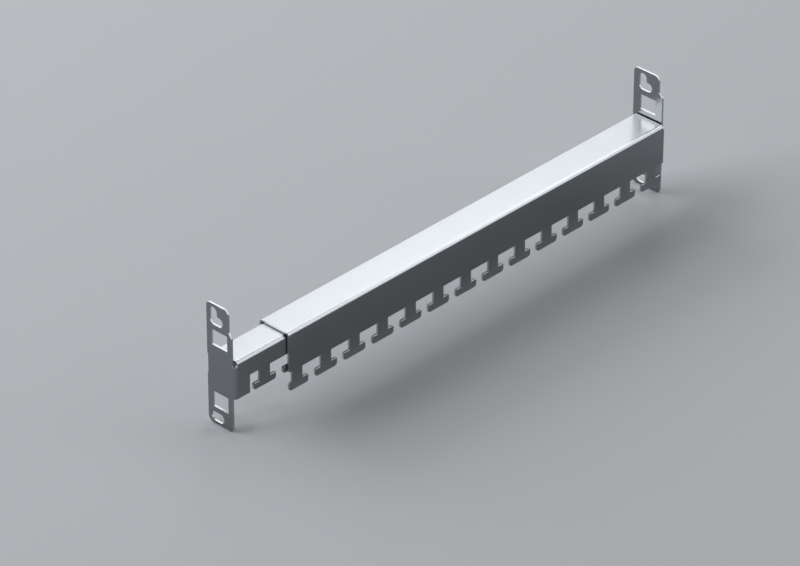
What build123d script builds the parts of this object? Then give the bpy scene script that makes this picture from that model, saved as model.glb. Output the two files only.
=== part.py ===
from build123d import *
import os

# Telescoping rail for tying cables in a rack: an inner and an outer channel, each folded
# from one sheet, with a comb of T-shaped tabs below the front wall and an upright flange
# at its far end. All sizes are in millimetres.
#
# X runs along the rail, Y from front to back, Z up. The origin is the middle of the
# whole rail, pushed together, on the level on which both flanges stand.

# Sheet and folds
sheet = 1.5
bend_inside = 1.0
bend_outside = bend_inside + sheet
sliding_gap = 0.35

# The pair, pushed together
closed_length = 389.2
rail_top = 53.0
outer_depth = 25.3

# Comb of T-shaped tabs
tab_pitch = 25.0
neck_width = 9.0
arm_length = 5.0
slot_height = 8.0
mouth_width = tab_pitch - neck_width - 2 * arm_length
tip_lower_radius = 2.0
tip_upper_radius = 1.0
end_margin = 2.5
end_corner_radius = 1.0

# Outer rail: wall_height is from the top sheet's upper side to the tops of the slots
outer_tabs = 14
outer_wall_height = 28.3
outer_arm_height = 5.6
outer_flange_margin = 8.6

# Inner rail: its comb ends level with the tops of the outer rail's slots
inner_tabs = 15
inner_arm_height = 4.8
inner_flange_margin = 20.8

# Upright flanges
flange_height = 86.4
outer_flange_depth = 27.2
outer_flange_setback = 5.75
outer_shoulder_drop = 14.8
outer_shoulder_rise = 2.9
inner_flange_depth = 23.55
inner_flange_setback = 5.05
inner_shoulder_drop = 18.8
inner_shoulder_rise = 3.3
top_front_radius = 4.0
top_back_radius = 3.0
foot_front_radius = 3.0
foot_back_radius = 4.5
relief_margin = 0.08
relief_rise = 0.15

# Openings in both flanges, set back from the outer rail's front face. The windows' middle is
# halfway between the foot slot and the hook slot's heel.
window_width = 13.3
window_height = 10.9
window_setback = 14.7
window_spacing = 44.45
screw_slot_width = 6.3
hook_setback = 19.5
hook_drop = 11.45
hook_leg = 5.9
hook_reach = 4.85
hook_inner_radius = 1.0
foot_slot_length = 11.0
foot_slot_setback = 17.4
foot_slot_height = 5.5

# Shallow notch in the inner flange's back edge
notch_length = 13.1
notch_depth = 0.6
notch_middle = 42.15

# Where the two rails lie
outer_front = -outer_flange_depth / 2
nesting = sheet + sliding_gap
inner_front = outer_front + nesting
inner_depth = outer_depth - 2 * nesting
inner_top = rail_top - nesting
outer_slot_top = rail_top - outer_wall_height
inner_slot_top = outer_slot_top + inner_arm_height + slot_height

# Heights on the flanges
outer_shoulder_foot = flange_height - outer_shoulder_drop
inner_shoulder_foot = flange_height - inner_shoulder_drop
hook_height = flange_height - hook_drop
window_middle = (foot_slot_height + hook_height) / 2


def rail_length(tabs, flange_margin):
    """Length from the flange's outer face to the open end."""
    return flange_margin + (tabs - 1) * tab_pitch + neck_width + end_margin


def panel(low_x, high_x, low_y, high_y):
    """Rectangle between two pairs of limits, on any sketch plane."""
    return Pos((low_x + high_x) / 2, (low_y + high_y) / 2) * Rectangle(high_x - low_x, high_y - low_y)


def round_corner(sketch, x, y, radius):
    """Round the corner of a sketch that lies nearest to a point."""
    return fillet(sketch.vertices().sort_by_distance((x, y, 0))[0], radius)


def channel(length, front, depth, top, back_foot):
    """Top sheet, back wall and the two long bends, without the flat of the front wall."""
    back = front + depth
    bend_foot = top - bend_outside
    outside = panel(front, back, back_foot, top)
    outside = fillet(outside.vertices().group_by(Axis.Y)[-1], bend_outside)
    inside = panel(front + sheet, back - sheet, back_foot - sheet, top - sheet)
    inside = fillet(inside.vertices().group_by(Axis.Y)[-1], bend_inside)
    below_front_bend = panel(front - sheet, front + 2 * sheet, back_foot - sheet, bend_foot)
    section = outside - inside - below_front_bend
    return extrude(Plane.YZ.offset(bend_outside) * section, amount=length - bend_outside)


def tab(neck_start, length, slot_top, arm_height):
    """One T-shaped tab: a neck, and a bar that stops at the rail's open end."""
    bar_top = slot_top - slot_height
    bar_start = neck_start - arm_length
    bar_end = min(neck_start + neck_width + arm_length, length)
    bar = panel(bar_start, bar_end, bar_top - arm_height, bar_top)
    for x in (bar_start, bar_end):
        bar = round_corner(bar, x, bar_top, tip_upper_radius)
        bar = round_corner(bar, x, bar_top - arm_height, tip_lower_radius)
    neck = panel(neck_start, neck_start + neck_width, bar_top - arm_height / 2, slot_top + sheet)
    return neck + bar


def front_wall(tabs, length, flange_margin, top, slot_top, arm_height):
    """Flat of the front wall with its comb, in the X-Z plane."""
    wall = panel(bend_outside, length, slot_top, top - bend_outside)
    wall = round_corner(wall, length, slot_top, end_corner_radius)
    cheek_end = flange_margin - arm_length - mouth_width / 2
    if cheek_end > bend_outside:
        comb_foot = slot_top - slot_height - arm_height
        wall += panel(bend_outside, cheek_end, comb_foot, slot_top + sheet)
    for index in range(tabs):
        wall += tab(flange_margin + index * tab_pitch, length, slot_top, arm_height)
    return wall


def corner_fold(front, foot, top):
    """Quarter-round upright fold between the front wall and the flange."""
    ring = Circle(bend_outside) - Circle(bend_inside)
    quarter = ring & panel(-bend_outside, 0, -bend_outside, 0)
    plan = Pos(bend_outside, front + bend_outside) * quarter
    return extrude(Plane.XY.offset(foot) * plan, amount=top - foot)


def hook_slot():
    """L-shaped screw slot: up from its heel, and forward from its heel."""
    heel_y = outer_front + hook_setback
    upright = Pos(heel_y, hook_height + hook_leg / 2) * Rot(0, 0, 90) * SlotCenterToCenter(
        hook_leg, screw_slot_width)
    level = Pos(heel_y - hook_reach / 2, hook_height) * SlotCenterToCenter(hook_reach, screw_slot_width)
    half = screw_slot_width / 2
    return round_corner(upright + level, heel_y - half, hook_height + half, hook_inner_radius)


def flange(front, depth, setback, shoulder_foot, shoulder_rise, notched):
    """Upright flange with its openings, outer face at x = 0."""
    wide_y = front + bend_outside
    narrow_y = front + setback
    back_y = front + depth
    shoulder_top = shoulder_foot + shoulder_rise
    outline = Polygon(
        (wide_y, 0), (back_y, 0), (back_y, flange_height), (narrow_y, flange_height),
        (narrow_y, shoulder_top), (wide_y, shoulder_foot), align=None)
    outline = round_corner(outline, wide_y, 0, foot_front_radius)
    outline = round_corner(outline, back_y, 0, foot_back_radius)
    outline = round_corner(outline, back_y, flange_height, top_back_radius)
    outline = round_corner(outline, narrow_y, flange_height, top_front_radius)
    window_y = outer_front + window_setback
    for side in (-1, 1):
        window_z = window_middle + side * window_spacing / 2
        outline -= Pos(window_y, window_z) * Rectangle(window_width, window_height)
    outline -= hook_slot()
    outline -= Pos(outer_front + foot_slot_setback, foot_slot_height) * SlotOverall(
        foot_slot_length, screw_slot_width)
    if notched:
        outline -= Pos(back_y, notch_middle) * Rectangle(2 * notch_depth, notch_length)
    return extrude(Plane.YZ * outline, amount=sheet)


def rail(tabs, flange_margin, front, depth, top, slot_top, arm_height, flange_plate):
    """One folded sheet, with its flange's outer face at x = 0 and its open end at +X."""
    length = rail_length(tabs, flange_margin)
    flat = front_wall(tabs, length, flange_margin, top, slot_top, arm_height)
    wall = extrude(Plane.XZ.offset(-front) * flat, amount=-sheet)
    has_cheek = flange_margin - arm_length - mouth_width / 2 > bend_outside
    fold_foot = slot_top - slot_height - arm_height if has_cheek else slot_top
    fold_top = top - bend_outside
    body = channel(length, front, depth, top, outer_slot_top) + wall
    body += corner_fold(front, fold_foot, fold_top) + flange_plate
    relief = Pos(bend_outside, front + bend_outside, fold_top + relief_rise) * Sphere(
        bend_outside + relief_margin)
    return body - relief


def outer_rail():
    plate = flange(outer_front, outer_flange_depth, outer_flange_setback, outer_shoulder_foot,
                   outer_shoulder_rise, notched=False)
    left_handed = rail(outer_tabs, outer_flange_margin, outer_front, outer_depth, rail_top,
                       outer_slot_top, outer_arm_height, plate)
    return Pos(closed_length / 2, 0, 0) * mirror(left_handed, about=Plane.YZ)


def inner_rail():
    plate = flange(inner_front, inner_flange_depth, inner_flange_setback, inner_shoulder_foot,
                   inner_shoulder_rise, notched=True)
    shape = rail(inner_tabs, inner_flange_margin, inner_front, inner_depth, inner_top,
                 inner_slot_top, inner_arm_height, plate)
    return Pos(-closed_length / 2, 0, 0) * shape


os.makedirs("parts", exist_ok=True)
for name, shape in (("outer_rail", outer_rail()), ("inner_rail", inner_rail())):
    export_step(shape, f"parts/{name}.step")
    box = shape.bounding_box()
    print(name, "solids", len(shape.solids()), "volume", round(shape.volume, 1), "box", box.min, box.max)
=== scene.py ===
# %% [markdown]
# # Cable attachment rail
#
# Two lengths of zinc-plated sheet steel, one sliding in the other. Each is one folded sheet: a channel
# with a comb of T-shaped tabs along its front wall, and an upright flange that is fixed to a rack post.
# The model has to lie exactly on the imported frame, so the script starts from it.

# %% The frame
import math
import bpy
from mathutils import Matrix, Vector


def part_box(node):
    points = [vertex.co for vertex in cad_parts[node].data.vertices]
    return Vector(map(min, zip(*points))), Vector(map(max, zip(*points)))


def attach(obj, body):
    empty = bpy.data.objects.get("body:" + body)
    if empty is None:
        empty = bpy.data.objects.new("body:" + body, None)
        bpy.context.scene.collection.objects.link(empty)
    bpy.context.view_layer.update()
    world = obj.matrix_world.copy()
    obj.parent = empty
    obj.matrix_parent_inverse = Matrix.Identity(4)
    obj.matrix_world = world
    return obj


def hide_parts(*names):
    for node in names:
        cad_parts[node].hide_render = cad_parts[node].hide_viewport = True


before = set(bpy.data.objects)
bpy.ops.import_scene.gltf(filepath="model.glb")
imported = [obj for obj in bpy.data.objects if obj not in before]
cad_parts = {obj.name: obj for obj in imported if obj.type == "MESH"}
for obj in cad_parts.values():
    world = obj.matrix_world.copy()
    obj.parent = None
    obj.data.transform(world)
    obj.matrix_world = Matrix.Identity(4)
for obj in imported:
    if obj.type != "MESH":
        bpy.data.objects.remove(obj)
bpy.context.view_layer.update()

from types import SimpleNamespace

import bmesh
import bpy
from mathutils import Matrix, Vector

mm = 0.001

# %% [markdown]
# ## Sizes
#
# Everything that the frame can tell is read from it: where the flanges stand, how long and deep each rail
# is. The rest are the sheet's own sizes, the ones that a drawing of the part would give. A folded part is
# defined by few numbers, because its bends all have the same radius and its comb repeats at one pitch.

# %% Sizes of the sheet and the comb
sheet = 1.5 * mm
bend_radius = 2.5 * mm
bend_width = bend_radius * math.pi / 2
rail_top = 53.0 * mm
channel_depth = 25.3 * mm
nesting = 1.85 * mm

tab_pitch = 25.0 * mm
neck_width = 9.0 * mm
arm_length = 5.0 * mm
tab_reach = neck_width / 2 + arm_length
slot_height = 8.0 * mm
print("a bend takes", round(bend_width / mm, 2), "mm of the sheet's outer side")

# %% [markdown]
# ## Two rails from one description
#
# Both rails are the same design with other sizes, so each is a short list of sizes. Hand says which way the
# rail runs from its flange, towards +X or -X. The inner comb ends level with the tops of the outer comb's
# slots. The cheek is the plain piece of wall beside the inner flange, and the notch is a shallow cut in
# that flange's back edge.

# %% The two rails
outer_low, outer_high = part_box("outer_rail")
inner_low, inner_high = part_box("inner_rail")
flange_height = outer_high.z
outer_slot_top = 24.7 * mm
inner_arm_height = 4.8 * mm

outer = SimpleNamespace(
    name="outer_rail", hand=-1, flange_x=outer_high.x, front=outer_low.y,
    length=outer_high.x - outer_low.x, top=rail_top, depth=channel_depth,
    slot_top=outer_slot_top, arm_height=5.6 * mm, tabs=14, first_neck=8.6 * mm, cheek=None,
    flange_depth=outer_high.y - outer_low.y, setback=5.75 * mm,
    shoulder_foot=71.6 * mm, shoulder_top=74.5 * mm, notch=None)
inner = SimpleNamespace(
    name="inner_rail", hand=1, flange_x=inner_low.x, front=inner_low.y,
    length=inner_high.x - inner_low.x, top=rail_top - nesting, depth=channel_depth - 2 * nesting,
    slot_top=outer_slot_top + (inner_arm_height + slot_height), arm_height=inner_arm_height,
    tabs=15, first_neck=20.8 * mm, cheek=12.8 * mm,
    flange_depth=inner_high.y - inner_low.y, setback=5.05 * mm,
    shoulder_foot=67.6 * mm, shoulder_top=70.9 * mm, notch=(35.6 * mm, 48.7 * mm))

for rail in (outer, inner):
    print(rail.name, "is", round(rail.length / mm, 2), "mm long, front at", round(rail.front / mm, 2), "mm")

# %% [markdown]
# ## The blank, as the punch sees it
#
# On the press the rail starts as a flat blank: the comb and all openings are punched first, and then the
# sheet is folded. Building it in the same order keeps every edge where the tool would cut it, and makes
# both sides of the sheet agree. A flat point has two coordinates: how far it lies from the flange along the
# rail, and how high it lies on the front wall. Past a bend, the height simply goes on along the sheet.
#
# Corners are not drawn as arcs. Each point of an outline carries the radius that its corner will get, and a
# fillet rounds them all in one go.

# %% Points of an outline
bend_strips = 8
relief_depth = 1.2 * mm


def corner(along, height, radius=0.0):
    return (along, height, radius)


def shifted(points, start, hand=1):
    """The same points counted from another start, and turned round if hand is -1."""
    return [corner(start + hand * along, height, radius) for along, height, radius in points]


def flange_along(rail, y):
    """Place on the blank of a point of the folded flange, from its depth in the part."""
    return bend_radius - bend_width - (y - rail.front - bend_radius)


def comb_heights(rail):
    """Lower and upper edge of the tabs' arms."""
    bar_top = rail.slot_top - slot_height
    return bar_top - rail.arm_height, bar_top


for rail in (outer, inner):
    print(rail.name, "arms between", [round(height / mm, 2) for height in comb_heights(rail)], "mm")

# %% [markdown]
# ## One step of the comb
#
# The comb is what the rail is for: a cable tie goes through the narrow mouth, round the neck, and the arms
# keep it from slipping off. One step runs from the middle of one tab's foot to the middle of the next.
# Drawing one step and repeating it is how the punch works too, with one tool that nibbles along the edge.

# %% Outline of half a tab, and of one step
tip_lower_radius = 2.0 * mm
tip_upper_radius = 1.0 * mm


def half_tab(rail, reach):
    """From the middle of a tab's foot, round its tip and up to the slot's top."""
    foot, bar_top = comb_heights(rail)
    return [corner(0, foot),
            corner(reach, foot, tip_lower_radius),
            corner(reach, bar_top, tip_upper_radius),
            corner(neck_width / 2, bar_top),
            corner(neck_width / 2, rail.slot_top)]


def comb_step(rail):
    right = half_tab(rail, tab_reach)
    return right + shifted(right[::-1], tab_pitch, -1)


print("one step of the comb has", len(comb_step(outer)), "points")

# %% [markdown]
# ## The flange's edge
#
# The flange reaches a little past the channel's back. Above the shoulder, where it stands free over the
# rail, its front edge is set back. Its corners have different radii, each read from the photograph.

# %% Outline of the flange
top_front_radius = 4.0 * mm
top_back_radius = 3.0 * mm
foot_front_radius = 3.0 * mm
foot_back_radius = 4.5 * mm
notch_depth = 0.6 * mm


def flange_edge(rail, fold_left):
    """From the shoulder over the top, down the back edge and round the foot."""
    back_y = rail.front + rail.flange_depth
    narrow = flange_along(rail, rail.front + rail.setback)
    back = flange_along(rail, back_y)
    points = [corner(fold_left, rail.shoulder_foot),
              corner(narrow, rail.shoulder_top),
              corner(narrow, flange_height, top_front_radius),
              corner(back, flange_height, top_back_radius)]
    if rail.notch:
        low, high = rail.notch
        deep = flange_along(rail, back_y - notch_depth)
        points += [corner(back, high), corner(deep, high), corner(deep, low), corner(back, low)]
    return points + [corner(back, 0, foot_back_radius), corner(fold_left, 0, foot_front_radius)]


print("the outer flange's edge has", len(flange_edge(outer, 0)), "points")

# %% [markdown]
# ## The rest of the edge
#
# From the last tab the edge runs round the open end, along the foot of the back wall, down the end of the
# top sheet to the small relief where the two bends would meet, round the flange and back to the first tab.
# The relief keeps the sheet from tearing at the corner, and shows as a small dark hole beside the flange.

# %% Outline from the last tab round to the first
end_corner_radius = 1.0 * mm


def relief(fold_top):
    """Half an ellipse between the wall and the flange, with a point on every bend strip."""
    middle, half = bend_radius - bend_width / 2, bend_width / 2
    steps = [half * (1 - 2 * i / bend_strips) for i in range(bend_strips + 1)]
    depths = [relief_depth * math.sqrt(1 - (step / half) ** 2) for step in steps]
    return [corner(middle + step, fold_top - depth) for step, depth in zip(steps, depths)]


def rest_of_edge(rail):
    foot = comb_heights(rail)[0]
    first_centre = rail.first_neck + neck_width / 2
    last_centre = first_centre + (rail.tabs - 1) * tab_pitch
    last_reach = min(tab_reach, rail.length - last_centre)
    fold_top = rail.top - bend_radius
    fold_left = bend_radius - bend_width
    back_foot = fold_top + 2 * bend_width + rail.depth - 2 * bend_radius + fold_top - outer_slot_top

    points = shifted(half_tab(rail, last_reach), last_centre)
    points += [corner(rail.length, rail.slot_top, end_corner_radius),
               corner(rail.length, back_foot),
               corner(bend_radius, back_foot)]
    points += relief(fold_top)
    points += flange_edge(rail, fold_left)
    if rail.cheek:
        points += [corner(fold_left, foot), corner(rail.cheek, foot), corner(rail.cheek, rail.slot_top)]
    else:
        points.append(corner(fold_left, rail.slot_top))
    return points + shifted(half_tab(rail, tab_reach)[::-1], first_centre, -1)


print("the outer rail's edge has", len(rest_of_edge(outer)), "more points than its comb")

# %% [markdown]
# ## Openings in the flange
#
# Two windows, one rack unit apart, and two slots fix the flange to the post. The L-shaped slot drops over
# its fixing and slides home, and the level slot at the foot leaves room to adjust. A slot's round end is a
# rectangle whose corners are rounded by half its width, so one kind of outline serves for all of them.

# %% Sizes of the openings
rack_unit = 44.45 * mm
window_width = 13.3 * mm
window_height = 10.9 * mm
window_setback = 14.7 * mm
punch_radius = 0.25 * mm

slot_width = 6.3 * mm
half_slot = slot_width / 2
hook_setback = 19.5 * mm
hook_height = 74.95 * mm
hook_leg = 5.9 * mm
hook_reach = 4.85 * mm
hook_inner_radius = 1.0 * mm
foot_slot_length = 11.0 * mm
foot_slot_setback = 17.4 * mm
foot_slot_height = 5.5 * mm
window_middle = (hook_height + foot_slot_height) / 2
print("the windows' middle is", round(window_middle / mm, 3), "mm above the floor")


# %% Outlines of the openings
def rectangle(middle, height, width, tall, radius):
    left, right = middle - width / 2, middle + width / 2
    low, high = height - tall / 2, height + tall / 2
    return [corner(left, low, radius), corner(right, low, radius),
            corner(right, high, radius), corner(left, high, radius)]


def hook_outline(rail):
    """The level leg points forward, and forward on the blank is towards the rail."""
    heel = flange_along(rail, outer.front + hook_setback)
    left, right, tip = heel - half_slot, heel + half_slot, heel + hook_reach + half_slot
    low, high, top = hook_height - half_slot, hook_height + half_slot, hook_height + hook_leg + half_slot
    return [corner(left, low, half_slot), corner(tip, low, half_slot), corner(tip, high, half_slot),
            corner(right, high, hook_inner_radius), corner(right, top, half_slot),
            corner(left, top, half_slot)]


def openings(rail):
    window = flange_along(rail, outer.front + window_setback)
    foot_slot = flange_along(rail, outer.front + foot_slot_setback)
    levels = (window_middle - rack_unit / 2, window_middle + rack_unit / 2)
    windows = [rectangle(window, level, window_width, window_height, punch_radius) for level in levels]
    return windows + [
        rectangle(foot_slot, foot_slot_height, foot_slot_length, slot_width, half_slot),
        hook_outline(rail)]


print("openings in each flange:", len(openings(outer)))

# %% [markdown]
# ## From outlines to edge meshes
#
# A Geometry Nodes tree reads meshes, so the outlines become edges with one extra value per point, the
# corner's radius. The outer rail is the mirror image of the inner one: its blank is laid out towards -X.


# %% Edges with a radius at every point
def edge_object(name, hand, start_x, chains):
    """chains is a list of (points, closed)."""
    mesh = bpy.data.meshes.new(name)
    places, edges, radii = [], [], []
    for points, closed in chains:
        first = len(places)
        places += [(start_x + hand * along, height, 0) for along, height, radius in points]
        radii += [radius for along, height, radius in points]
        edges += [(i, i + 1) for i in range(first, len(places) - 1)]
        if closed:
            edges.append((len(places) - 1, first))
    mesh.from_pydata(places, edges, [])
    mesh.attributes.new("corner_radius", "FLOAT", "POINT").data.foreach_set("value", radii)
    piece = bpy.data.objects.new(name, mesh)
    bpy.context.scene.collection.objects.link(piece)
    print(name, "outline:", len(places), "points,", sum(radius > 0 for radius in radii), "of them rounded")
    return piece


# %% [markdown]
# ## A helper for node trees
#
# Shader trees and geometry trees are built the same way: add a node, set its properties, and give each
# input either a value or the output of another node. One function does all three. The others open and
# close a geometry tree, and put it on a piece.

# %% Add a node
def add(tree, kind, inputs=None, **settings):
    """Inputs are a value, another node for its first output, or one output of it."""
    node = tree.nodes.new(kind)
    for name, value in settings.items():
        setattr(node, name, value)
    for socket, value in (inputs or {}).items():
        if isinstance(value, bpy.types.Node):
            value = value.outputs[0]
        if isinstance(value, bpy.types.NodeSocket):
            tree.links.new(value, node.inputs[socket])
        else:
            node.inputs[socket].default_value = value
    return node


# %% Open a geometry tree, close it, and put it on a piece
def new_tree(name, sockets):
    """A geometry tree with a geometry input and output, and the named inputs."""
    tree = bpy.data.node_groups.new(name, "GeometryNodeTree")
    tree.interface.new_socket("Geometry", in_out="OUTPUT", socket_type="NodeSocketGeometry")
    tree.interface.new_socket("Geometry", in_out="INPUT", socket_type="NodeSocketGeometry")
    for label, kind in sockets:
        tree.interface.new_socket(label, in_out="INPUT", socket_type=f"NodeSocket{kind}")
    return tree, tree.nodes.new("NodeGroupInput")


def close_tree(tree, geometry, material):
    """The export drops instances, so they become real, and the material goes on last."""
    real = add(tree, "GeometryNodeRealizeInstances", {"Geometry": geometry})
    dressed = add(tree, "GeometryNodeSetMaterial", {"Geometry": real, "Material": material})
    add(tree, "NodeGroupOutput", {0: dressed})
    print("tree", tree.name, "has", len(tree.nodes), "nodes")


def run_tree(piece, tree, values):
    """Puts the tree on the piece as a modifier and sets its inputs by their identifiers."""
    modifier = piece.modifiers.new(tree.name, "NODES")
    modifier.node_group = tree
    for item in tree.interface.items_tree:
        if item.in_out == "INPUT" and item.name in values:
            modifier[item.identifier] = values[item.name]


# %% [markdown]
# ## Punching the blank
#
# The tree repeats the comb's step at the tab pitch, joins it to the rest of the edge, welds the ends that
# meet, rounds every corner by its own radius and fills the outline. Outlines inside it stay open, which
# makes the windows and slots. Last it stands the blank up in the plane of the front wall, with its good
# side forward.

# %% The tree that cuts the blank
weld_distance = 0.01 * mm
stray_distance = 0.002 * mm
arc_steps = 12


def blank_tree():
    tree, given = new_tree("cut_blank", [
        ("Comb Step", "Object"), ("Steps", "Int"), ("Pitch", "Float"), ("First Tab", "Float"),
        ("Arc Steps", "Int"), ("Front", "Float"), ("Material", "Material")])
    start = add(tree, "ShaderNodeCombineXYZ", {"X": given.outputs["First Tab"]})
    offset = add(tree, "ShaderNodeCombineXYZ", {"X": given.outputs["Pitch"]})
    row = add(tree, "GeometryNodeMeshLine", {
        "Count": given.outputs["Steps"], "Start Location": start, "Offset": offset}, mode="OFFSET")
    step = add(tree, "GeometryNodeObjectInfo", {"Object": given.outputs["Comb Step"]})
    comb = add(tree, "GeometryNodeInstanceOnPoints", {
        "Points": row, "Instance": step.outputs["Geometry"]})
    real_comb = add(tree, "GeometryNodeRealizeInstances", {"Geometry": comb})
    edge = add(tree, "GeometryNodeJoinGeometry", {"Geometry": given.outputs["Geometry"]})
    tree.links.new(real_comb.outputs[0], edge.inputs["Geometry"])
    welded = add(tree, "GeometryNodeMergeByDistance", {"Geometry": edge, "Distance": weld_distance})
    outline = add(tree, "GeometryNodeMeshToCurve", {"Mesh": welded})
    radius = add(tree, "GeometryNodeInputNamedAttribute", {"Name": "corner_radius"}, data_type="FLOAT")
    rounded = add(tree, "GeometryNodeFilletCurve", {
        "Curve": outline, "Radius": radius.outputs["Attribute"], "Limit Radius": True,
        "Count": given.outputs["Arc Steps"]}, mode="POLY")
    filled = add(tree, "GeometryNodeFillCurve", {"Curve": rounded}, mode="NGONS")
    clean = add(tree, "GeometryNodeMergeByDistance", {"Geometry": filled, "Distance": stray_distance})
    plane = add(tree, "ShaderNodeCombineXYZ", {"Y": given.outputs["Front"]})
    upright = add(tree, "GeometryNodeTransform", {
        "Geometry": clean, "Translation": plane, "Rotation": (math.pi / 2, 0, 0)})
    close_tree(tree, upright, given.outputs["Material"])
    return tree


# %% Cut a blank, and bake it to a plain mesh
def bake(piece):
    """Replaces the piece's mesh by what its modifiers make of it, and removes them."""
    graph = bpy.context.evaluated_depsgraph_get()
    result = piece.evaluated_get(graph)
    mesh = bpy.data.meshes.new_from_object(result, preserve_all_data_layers=True, depsgraph=graph)
    piece.modifiers.clear()
    piece.data = mesh


def cut_blank(rail, tree, material):
    first_centre = rail.flange_x + rail.hand * (rail.first_neck + neck_width / 2)
    step = edge_object("comb_step", rail.hand, 0, [(comb_step(rail), False)])
    chains = [(rest_of_edge(rail), False)] + [(points, True) for points in openings(rail)]
    piece = edge_object(rail.name + "_sheet", rail.hand, rail.flange_x, chains)
    run_tree(piece, tree, {
        "Comb Step": step, "Steps": rail.tabs - 1, "Pitch": rail.hand * tab_pitch,
        "First Tab": first_centre, "Arc Steps": arc_steps, "Front": rail.front, "Material": material})
    bake(piece)
    bpy.data.objects.remove(step)
    print(piece.name, "blank:", len(piece.data.vertices), "points,", len(piece.data.polygons), "faces")
    return piece


# %% [markdown]
# ## Scoring the bends
#
# A flat face can't bend, so the blank gets lines across each bend zone first: eight strips make a quarter
# turn that looks round. The same pass stores the flat coordinates as a UV map, because the sheet's rolling
# lines were there before it was folded, and marks the part that the two long bends take with them.

# %% Cut the strips
cut_tolerance = 1e-6
side_tolerance = 1e-7


def cut_across(blank, faces, place, direction):
    """Cuts the faces along a plane, and leaves both sides in place."""
    around = {edge for face in faces for edge in face.edges}
    around |= {vert for face in faces for vert in face.verts}
    bmesh.ops.bisect_plane(
        blank, geom=list(faces) + list(around), dist=cut_tolerance, plane_co=place, plane_no=direction)


def towards_flange(rail, face, fold_start):
    """Whether the face reaches the bend zone of the flange."""
    nearest = min(vert.co.x * rail.hand for vert in face.verts)
    return nearest < fold_start * rail.hand + side_tolerance


def score_flange_bend(rail, blank, fold_start):
    for i in range(bend_strips + 1):
        place = Vector((fold_start - rail.hand * bend_width * i / bend_strips, 0, 0))
        strip = [face for face in blank.faces if i == 0 or towards_flange(rail, face, fold_start)]
        cut_across(blank, strip, place, Vector((1, 0, 0)))


def score_long_bend(rail, blank, fold_start, bend_start):
    for i in range(bend_strips + 1):
        place = Vector((0, 0, bend_start + bend_width * i / bend_strips))
        beyond = [face for face in blank.faces
                  if face.calc_center_median().x * rail.hand > fold_start * rail.hand]
        cut_across(blank, beyond, place, Vector((0, 0, 1)))


# %% Remember the flat place, and score a blank
def remember_flat(rail, blank, fold_start):
    """Each point's place on the flat blank, and 1 where it belongs to the channel."""
    flat = blank.loops.layers.uv.new("sheet")
    channel = blank.verts.layers.float.new("channel")
    for face in blank.faces:
        for loop in face.loops:
            loop[flat].uv = (rail.hand * (loop.vert.co.x - rail.flange_x), loop.vert.co.z)
    for vert in blank.verts:
        vert[channel] = float(rail.hand * (vert.co.x - fold_start) > -cut_tolerance)


def score(rail, piece):
    blank = bmesh.new()
    blank.from_mesh(piece.data)
    fold_start = rail.flange_x + rail.hand * bend_radius
    front_bend = rail.top - bend_radius
    back_bend = front_bend + bend_width + rail.depth - 2 * bend_radius
    score_flange_bend(rail, blank, fold_start)
    score_long_bend(rail, blank, fold_start, front_bend)
    score_long_bend(rail, blank, fold_start, back_bend)
    remember_flat(rail, blank, fold_start)
    blank.to_mesh(piece.data)
    blank.free()
    print(piece.name, "scored:", len(piece.data.polygons), "faces")
    return front_bend, back_bend


# %% [markdown]
# ## Folding
#
# A press brake does one thing: what lies past the bend line turns by a quarter about the tool's edge. As a
# rule for a point, let u be its distance past the line and n its height above the outer side. Inside the
# bend zone the point goes round an arc, and past the zone it is carried along, already turned. The rule is
# a Geometry Nodes tree with the line and two directions as inputs, and the same tree makes all three bends.
# The order matters as it does on the press: the back wall first, then the top with it, then the flange.

# %% The rule for one point
def place_at_line(tree, given):
    """u and n of a point, measured from the bend line."""
    position = add(tree, "GeometryNodeInputPosition")
    from_line = add(tree, "ShaderNodeVectorMath", {
        0: position, 1: given.outputs["Through"]}, operation="SUBTRACT")
    u = add(tree, "ShaderNodeVectorMath", {
        0: from_line, 1: given.outputs["Across"]}, operation="DOT_PRODUCT")
    n = add(tree, "ShaderNodeVectorMath", {
        0: from_line, 1: given.outputs["Outward"]}, operation="DOT_PRODUCT")
    return u.outputs["Value"], n.outputs["Value"]


def shift_by_bend(tree, u, n, radius):
    """How far the bend moves a point across the line, and how far outwards."""
    turned = add(tree, "ShaderNodeMath", {0: u, 1: radius}, operation="DIVIDE")
    begun = add(tree, "ShaderNodeMath", {0: turned, 1: 0.0}, operation="MAXIMUM")
    angle = add(tree, "ShaderNodeMath", {0: begun, 1: math.pi / 2}, operation="MINIMUM")
    sine = add(tree, "ShaderNodeMath", {0: angle}, operation="SINE")
    cosine = add(tree, "ShaderNodeMath", {0: angle}, operation="COSINE")
    arm = add(tree, "ShaderNodeMath", {0: radius, 1: n}, operation="ADD")

    before_line = add(tree, "ShaderNodeMath", {0: u, 1: 0.0}, operation="MINIMUM")
    new_u = add(tree, "ShaderNodeMath", {0: arm, 1: sine, 2: before_line}, operation="MULTIPLY_ADD")

    zone = add(tree, "ShaderNodeMath", {0: radius, 1: math.pi / 2}, operation="MULTIPLY")
    past_zone = add(tree, "ShaderNodeMath", {0: u, 1: zone}, operation="SUBTRACT")
    carried = add(tree, "ShaderNodeMath", {0: past_zone, 1: 0.0}, operation="MAXIMUM")
    centre = add(tree, "ShaderNodeMath", {0: radius, 1: -1.0}, operation="MULTIPLY")
    swung = add(tree, "ShaderNodeMath", {0: arm, 1: cosine, 2: centre}, operation="MULTIPLY_ADD")
    new_n = add(tree, "ShaderNodeMath", {0: swung, 1: carried}, operation="SUBTRACT")

    shift_u = add(tree, "ShaderNodeMath", {0: new_u, 1: u}, operation="SUBTRACT")
    shift_n = add(tree, "ShaderNodeMath", {0: new_n, 1: n}, operation="SUBTRACT")
    return shift_u, shift_n


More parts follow.
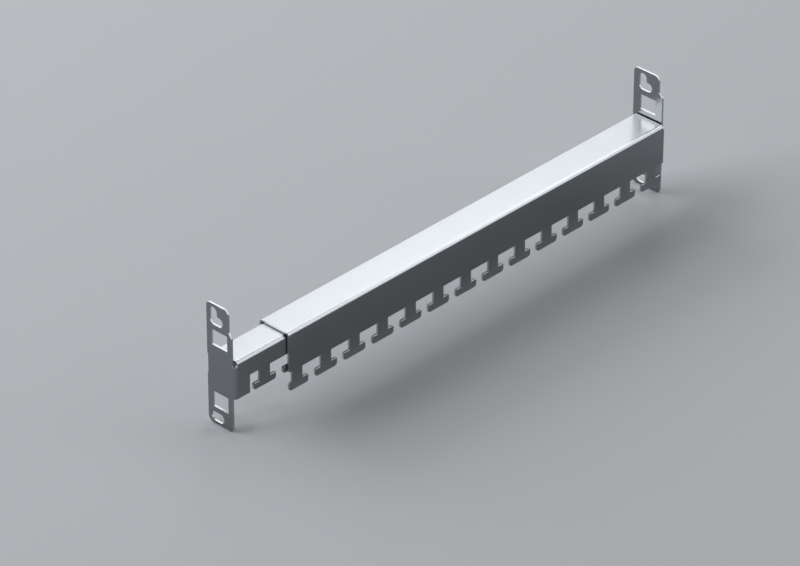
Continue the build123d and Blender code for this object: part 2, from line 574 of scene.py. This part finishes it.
# %% The tree that folds along a line
def fold_tree():
    tree, given = new_tree("fold", [
        ("Through", "Vector"), ("Across", "Vector"), ("Outward", "Vector"), ("Radius", "Float"),
        ("Channel Only", "Bool"), ("Material", "Material")])
    u, n = place_at_line(tree, given)
    shift_u, shift_n = shift_by_bend(tree, u, n, given.outputs["Radius"])
    move_u = add(tree, "ShaderNodeVectorMath", {
        0: given.outputs["Across"], "Scale": shift_u}, operation="SCALE")
    move_n = add(tree, "ShaderNodeVectorMath", {
        0: given.outputs["Outward"], "Scale": shift_n}, operation="SCALE")
    move = add(tree, "ShaderNodeVectorMath", {0: move_u, 1: move_n}, operation="ADD")

    channel = add(tree, "GeometryNodeInputNamedAttribute", {"Name": "channel"}, data_type="FLOAT")
    whole_sheet = add(tree, "ShaderNodeMath", {
        0: 1.0, 1: given.outputs["Channel Only"]}, operation="SUBTRACT")
    either = add(tree, "ShaderNodeMath", {
        0: channel.outputs["Attribute"], 1: whole_sheet}, operation="ADD")
    taken = add(tree, "ShaderNodeMath", {0: either, 1: 0.5}, operation="GREATER_THAN")
    folded = add(tree, "GeometryNodeSetPosition", {
        "Geometry": given.outputs["Geometry"], "Selection": taken, "Offset": move})
    close_tree(tree, folded, given.outputs["Material"])
    return tree


# %% Fold a scored blank
def extent(piece, axis):
    """The piece's length along an axis, in millimetres."""
    places = [vert.co[axis] for vert in piece.data.vertices]
    return round((max(places) - min(places)) / mm, 2)


def fold(rail, piece, tree, bends, material):
    outward, up, to_flange = (0, -1, 0), (0, 0, 1), (-rail.hand, 0, 0)
    front_bend, back_bend = bends
    fold_start = rail.flange_x + rail.hand * bend_radius
    for through, across, channel_only in (
            ((0, rail.front, back_bend), up, True),
            ((0, rail.front, front_bend), up, True),
            ((fold_start, rail.front, 0), to_flange, False)):
        run_tree(piece, tree, {
            "Through": through, "Across": across, "Outward": outward, "Radius": bend_radius,
            "Channel Only": channel_only, "Material": material})
    bake(piece)
    print(piece.name, "folded:", [extent(piece, axis) for axis in range(3)], "mm")


# %% [markdown]
# ## Thickness and edges
#
# Solidify gives the folded surface its 1.5 mm, inwards, and even across the bends. The cut faces round the
# sheet get the second material. Weighted normals keep the big flats flat while the roundings shade softly.
#
# A punched edge is never razor sharp, and the narrow rounding along it is what makes sheet metal catch the
# light. Most edges get 0.15 mm. A cable tie is pulled tight over the tabs' arms, so the edges on the front
# that face up have a wider rounding of 0.4 mm, which shows as a light line on every arm. The bevel reads
# each edge's share of the wider rounding from its weight.

# %% How much each edge is rounded
edge_rounding = 0.15 * mm
tie_rounding = 0.4 * mm
sharp_angle = math.radians(33)
front_limit = -0.1
print("edges are rounded by", round(edge_rounding / mm, 2), "to", round(tie_rounding / mm, 2), "mm")


def weigh_edges(piece):
    """A weight of 1 takes the full rounding: edges that a tie lies on, on the front and facing up."""
    shell = bmesh.new()
    shell.from_mesh(piece.data)
    weight = shell.edges.layers.float.new("bevel_weight_edge")
    least = edge_rounding / tie_rounding
    for edge in shell.edges:
        if edge.calc_face_angle(0) > sharp_angle:
            skin, rim = sorted(edge.link_faces, key=lambda face: face.material_index)
            faces_front = skin.material_index == 0 and skin.normal.y < front_limit
            faces_up = max(rim.normal.z, 0) ** 2
            edge[weight] = least + (1 - least) * faces_up if faces_front else least
    shell.to_mesh(piece.data)
    shell.free()


# %% Give the sheet its thickness
def open_edges(mesh):
    """Edges that don't lie between exactly two faces. A closed shell has none."""
    use = [0] * len(mesh.edges)
    for loop in mesh.loops:
        use[loop.edge_index] += 1
    return sum(1 for count in use if count != 2)


def thicken(piece, edge_material):
    piece.data.materials.append(edge_material)
    piece.data.shade_smooth()
    wall = piece.modifiers.new("thickness", "SOLIDIFY")
    wall.thickness = sheet
    wall.offset = -1
    wall.use_even_offset = True
    wall.material_offset_rim = 1
    bake(piece)
    weigh_edges(piece)
    edge = piece.modifiers.new("edges", "BEVEL")
    edge.width = tie_rounding
    edge.segments = 2
    edge.limit_method = "WEIGHT"
    edge.use_clamp_overlap = False
    edge.loop_slide = False
    shade = piece.modifiers.new("flats", "WEIGHTED_NORMAL")
    shade.weight = 100
    shade.keep_sharp = False
    bake(piece)
    print(piece.name, "solid:", len(piece.data.polygons), "faces,", open_edges(piece.data), "open edges")


# %% [markdown]
# ## Colours
#
# Colours are written as the hex values that a screen shows. Blender counts light in linear values, so one
# function turns them. A Mix node has sockets for numbers, vectors and colours under the same labels, so its
# colours are found by number.

# %% Hex to linear, and an empty material
mix_first, mix_second, mix_result = 6, 7, 2


def linear(hex_colour):
    parts = [int(hex_colour[i:i + 2], 16) / 255 for i in (1, 3, 5)]
    return tuple(p / 12.92 if p <= 0.04045 else ((p + 0.055) / 1.055) ** 2.4 for p in parts) + (1,)


def new_material(name):
    material = bpy.data.materials.new(name)
    material.use_nodes = True
    material.node_tree.nodes.clear()
    return material, material.node_tree


print("screen grey #808080 is", round(linear("#808080")[0], 3), "in linear light")

# %% [markdown]
# ## Zinc-plated sheet steel
#
# The rails are cold-rolled steel with a thin bright zinc plating and a clear passivation over it. Zinc is a
# bluish grey metal, and plating on a rolled sheet keeps some of the roll's satin, so it mirrors large
# shapes but blurs them. Passivation leaves faint clouds, a little lighter here and duller there, some
# 24 mm across. The colour is matched to the object: it is darker than clean zinc, because the floor that
# the metal mirrors is pale.
#
# The rolling lines are a few hundredths of a millimetre apart on the real sheet. They are drawn coarser
# here, half a millimetre apart and very faint, so that they still show in the render.

# %% The plated surface
cloud_size = 24 * mm
line_length = 45 * mm
line_spacing = 0.5 * mm
line_depth = 0.01 * mm
line_roughness = 0.06


def zinc_plated_sheet():
    material, tree = new_material("zinc_plated_steel_satin")
    flat = add(tree, "ShaderNodeUVMap", uv_map="sheet")
    clouds = add(tree, "ShaderNodeTexNoise", {
        "Vector": flat, "Scale": 1 / cloud_size, "Detail": 3.0, "Roughness": 0.5})
    stretched = add(tree, "ShaderNodeMapping", {
        "Vector": flat, "Scale": (1 / line_length, 1 / line_spacing, 1.0)})
    lines = add(tree, "ShaderNodeTexNoise", {
        "Vector": stretched, "Scale": 1.0, "Detail": 2.0, "Roughness": 0.6})
    tint = add(tree, "ShaderNodeMix", {
        "Factor": clouds.outputs["Fac"], mix_first: linear("#8A8D90"), mix_second: linear("#8E9193")},
        data_type="RGBA")
    rough_clouds = add(tree, "ShaderNodeMapRange", {
        "Value": clouds.outputs["Fac"], "From Min": 0.3, "From Max": 0.7, "To Min": 0.2, "To Max": 0.22})
    rough = add(tree, "ShaderNodeMath", {
        0: lines.outputs["Fac"], 1: line_roughness, 2: rough_clouds}, operation="MULTIPLY_ADD")
    bump = add(tree, "ShaderNodeBump", {
        "Strength": 0.12, "Distance": line_depth, "Height": lines.outputs["Fac"]})
    surface = add(tree, "ShaderNodeBsdfPrincipled", {
        "Base Color": tint.outputs[mix_result], "Metallic": 1.0, "Roughness": rough, "Normal": bump})
    add(tree, "ShaderNodeOutputMaterial", {"Surface": surface})
    print("material", material.name, "has", len(tree.nodes), "nodes")
    return material


# %% [markdown]
# ## Punched edges
#
# Where the punch cuts, the sheet is sheared and then breaks off, which leaves a fine, dull grain a few
# tenths of a millimetre across. The rail is plated after it is punched, so its cut faces are zinc too, only
# rougher: they spread the light, and look paler than the flats where these mirror something dark. Their
# zinc is also set lighter than the flats'. That lightness is a painted highlight, so that the cut edges
# read as light lines.

# %% The cut faces
grain_size = 0.35 * mm


def plated_cut_edge():
    material, tree = new_material("zinc_plated_cut_edge")
    place = add(tree, "ShaderNodeTexCoord")
    grain = add(tree, "ShaderNodeTexNoise", {
        "Vector": place.outputs["Object"], "Scale": 1 / grain_size, "Detail": 2.0, "Roughness": 0.6})
    # Painted highlight: the cut faces' zinc is lighter than the flats' so that the edges read as light
    # lines. The speckle between the two tints is the grain.
    tint = add(tree, "ShaderNodeMix", {
        "Factor": grain.outputs["Fac"], mix_first: linear("#A2A5A7"), mix_second: linear("#B0B2B4")},
        data_type="RGBA")
    rough = add(tree, "ShaderNodeMapRange", {
        "Value": grain.outputs["Fac"], "From Min": 0.3, "From Max": 0.7, "To Min": 0.34, "To Max": 0.42})
    surface = add(tree, "ShaderNodeBsdfPrincipled", {
        "Base Color": tint.outputs[mix_result], "Metallic": 1.0, "Roughness": rough.outputs["Result"]})
    add(tree, "ShaderNodeOutputMaterial", {"Surface": surface})
    print("material", material.name, "has", len(tree.nodes), "nodes")
    return material


# %% Make both rails
zinc = zinc_plated_sheet()
cut_edge = plated_cut_edge()
cutting, folding = blank_tree(), fold_tree()
sheets = {}
for rail in (outer, inner):
    piece = cut_blank(rail, cutting, zinc)
    bends = score(rail, piece)
    fold(rail, piece, folding, bends, zinc)
    thicken(piece, cut_edge)
    sheets[rail.name] = piece

# %% [markdown]
# ## Floor
#
# A plain pale floor in matt paint, level with the flanges' feet. It ends halfway to the soft boxes, before
# they would light it too brightly. It is a stage piece, so it isn't part of the object.

# %% The floor
studio_distance = 5.0
floor_half = studio_distance / 2


def make_floor(half):
    mesh = bpy.data.meshes.new("floor")
    corners = [(-half, -half, 0), (half, -half, 0), (half, half, 0), (-half, half, 0)]
    mesh.from_pydata(corners, [], [(0, 1, 2, 3)])
    floor = bpy.data.objects.new("floor", mesh)
    bpy.context.scene.collection.objects.link(floor)
    material, tree = new_material("matt_pale_paint")
    surface = add(tree, "ShaderNodeBsdfPrincipled", {
        "Base Color": linear("#B6BABE"), "Roughness": 0.9, "Specular IOR Level": 0.15})
    add(tree, "ShaderNodeOutputMaterial", {"Surface": surface})
    mesh.materials.append(material)
    print("floor:", 2 * half, "m square, painted in", material.name)


make_floor(floor_half)

# %% [markdown]
# ## Light
#
# Metal shows what it mirrors, so the light is placed by the mirror rule. Seen from the camera, the top
# mirrors the sky behind and to the right, about a third of the way up: a large, mild soft box there makes
# the top almost white. The front walls mirror the floor in front of the rail. The rail's own soft shadow
# falls there, because most of the light comes from behind, and so the walls go dark and the edge between
# the two reads clearly.
#
# The long bend along the front turns from one to the other. On the way it mirrors the sky at the right,
# where a long, narrow box draws its bright line, and then a lower box at the front right, which also lights
# the edges that slope towards the viewer. The two strong boxes at the back light the floor and the flanges'
# faces. Every box stands five metres away, so its picture hardly shifts along the rail and the floor is
# evenly lit. What the metal sees past the boxes is the studio's pale wall.

# %% Soft boxes
def direction(azimuth, elevation):
    """Unit vector for an angle from +X towards +Y, and an angle above the floor, in degrees."""
    around, above = math.radians(azimuth), math.radians(elevation)
    level = math.cos(above)
    return Vector((math.cos(around) * level, math.sin(around) * level, math.sin(above)))


def soft_box(name, azimuth, elevation, wide, tall, brightness):
    """Where its middle stands in the sky and how wide and tall it looks from the rail, in degrees."""
    width, height = (2 * studio_distance * math.tan(math.radians(angle) / 2) for angle in (wide, tall))
    lamp = bpy.data.lights.new(name, "AREA")
    lamp.shape = "RECTANGLE"
    lamp.size, lamp.size_y = width, height
    lamp.energy = brightness * math.pi * width * height
    box = bpy.data.objects.new(name, lamp)
    towards = direction(azimuth, elevation)
    turned = towards.to_track_quat("Z", "Y").to_matrix().to_4x4()
    box.matrix_world = Matrix.Translation(towards * studio_distance) @ turned
    box.visible_camera = False
    bpy.context.scene.collection.objects.link(box)
    print(name, "is", round(width, 2), "by", round(height, 2), "m, brightness", brightness)


soft_box("back_right_box", 59, 23, 48, 40, 1.9)
soft_box("back_box", 97, 18, 33, 23, 6.8)
soft_box("back_left_box", 136, 27, 42, 31, 6.2)
soft_box("right_box", 1, 49, 68, 9, 5.2)
soft_box("front_right_box", -49, 17, 22, 36, 2.2)


# %% The studio's wall
def studio_world():
    """The lamps light the rail. What the camera and the metal see past them is a pale wall."""
    world = bpy.data.worlds.new("studio")
    world.use_nodes = True
    tree = world.node_tree
    tree.nodes.clear()
    ray = add(tree, "ShaderNodeLightPath")
    mirrored = add(tree, "ShaderNodeMath", {
        0: ray.outputs["Is Camera Ray"], 1: ray.outputs["Is Glossy Ray"]}, operation="MAXIMUM")
    seen = add(tree, "ShaderNodeMath", {
        0: mirrored, 1: ray.outputs["Is Transmission Ray"]}, operation="MAXIMUM")
    fill = add(tree, "ShaderNodeBackground", {"Color": linear("#FFFFFF"), "Strength": 0.02})
    wall = add(tree, "ShaderNodeBackground", {"Color": linear("#C4C8CC"), "Strength": 1.0})
    mixed = add(tree, "ShaderNodeMixShader", {0: seen, 1: fill, 2: wall})
    add(tree, "ShaderNodeOutputWorld", {"Surface": mixed})
    print("world", world.name, "has", len(tree.nodes), "nodes")
    return world


bpy.context.scene.world = studio_world()
bpy.context.scene.view_settings.view_transform = "Standard"

# %% [markdown]
# ## Camera
#
# The photograph was taken with a long lens from the front left, well above the rail. The view was found by
# matching corners of the flanges and the comb, so it is given as an angle, a distance in millimetres and
# the point that it looks at.

# %% The camera
azimuth, elevation = math.radians(-46.105), math.radians(32.43)
distance = 3150.8
aim = Vector((-27.8, 11.0, 22.5)) * mm
level = math.cos(elevation)
back = Vector((math.sin(azimuth) * level, -math.cos(azimuth) * level, math.sin(elevation)))
right = Vector((math.cos(azimuth), math.sin(azimuth), 0))
up = back.cross(right)
lens = bpy.data.cameras.new("camera")
lens.lens, lens.sensor_width = 226.6, 36
lens.clip_start, lens.clip_end = 0.1, 20
camera = bpy.data.objects.new("camera", lens)
turn = Matrix((right, up, back)).transposed().to_4x4()
camera.matrix_world = Matrix.Translation(aim + back * distance * mm) @ turn
bpy.context.scene.collection.objects.link(camera)
bpy.context.scene.camera = camera
print("camera at", [round(c, 3) for c in camera.matrix_world.translation])

# %% [markdown]
# ## Into the frame
#
# Each sheet rides on its CAD body and stands in for its CAD node, which is hidden.

# %% Ride and replace
for name, body in (("outer_rail", "outer"), ("inner_rail", "inner")):
    piece = sheets[name]
    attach(piece, body)
    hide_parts(name)
